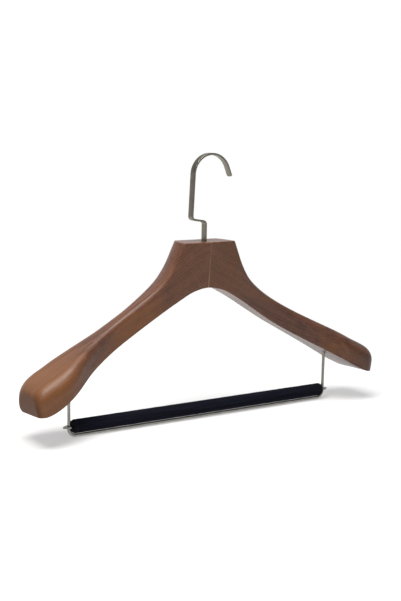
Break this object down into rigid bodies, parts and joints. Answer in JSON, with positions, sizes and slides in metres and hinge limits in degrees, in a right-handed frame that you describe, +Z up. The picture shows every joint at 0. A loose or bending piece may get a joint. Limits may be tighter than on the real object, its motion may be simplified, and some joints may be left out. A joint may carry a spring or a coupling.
{
  "type": "clothes hanger",
  "caption": "Contoured wooden suit hanger with broad shoulders, a flat swivelling metal hook and a flocked trouser bar that slides on a wire frame.",
  "frame": {"origin": "centre of the hook's inner arc, where a rail lies", "axes": "+Z up, +X towards the hook's open side and along the hanger, +Y to the back; the front with the shoulders' forward sweep faces -Y; the hook's arc axis runs along Y"},
  "size_m": [0.456, 0.0694, 0.3046],
  "materials": {
    "wood": "dark brown stained beech under satin lacquer",
    "pale_wood": "plain turned beech",
    "nickel": "satin nickel-plated steel",
    "flock": "short near-black flock",
    "cap": "matte near-black plastic"
  },
  "bodies": {
    "hook": {"hook": "nickel", "hook_washer": "nickel", "hook_nut": "nickel"},
    "hanger": {"left_arm": "wood", "right_arm": "wood", "upper_dowel": "pale_wood", "lower_dowel": "pale_wood", "hook_bushing": "nickel", "bar_frame": "nickel"},
    "bar": {"bar_tube": "nickel", "flocked_sleeve": "flock", "left_end_cap": "cap", "right_end_cap": "cap", "left_eye": "nickel", "right_eye": "nickel"}
  },
  "joints": [
    {"name": "hook_swivel", "type": "hinge", "parent": "hook", "child": "hanger", "pos_m": [-0.00756, 0, -0.075], "axis": [0, 0, 1], "continuous": true},
    {"name": "bar_slide", "type": "slide", "parent": "hanger", "child": "bar", "axis": [0, 0, 1], "range_m": [0, 0.037]}
  ]
}
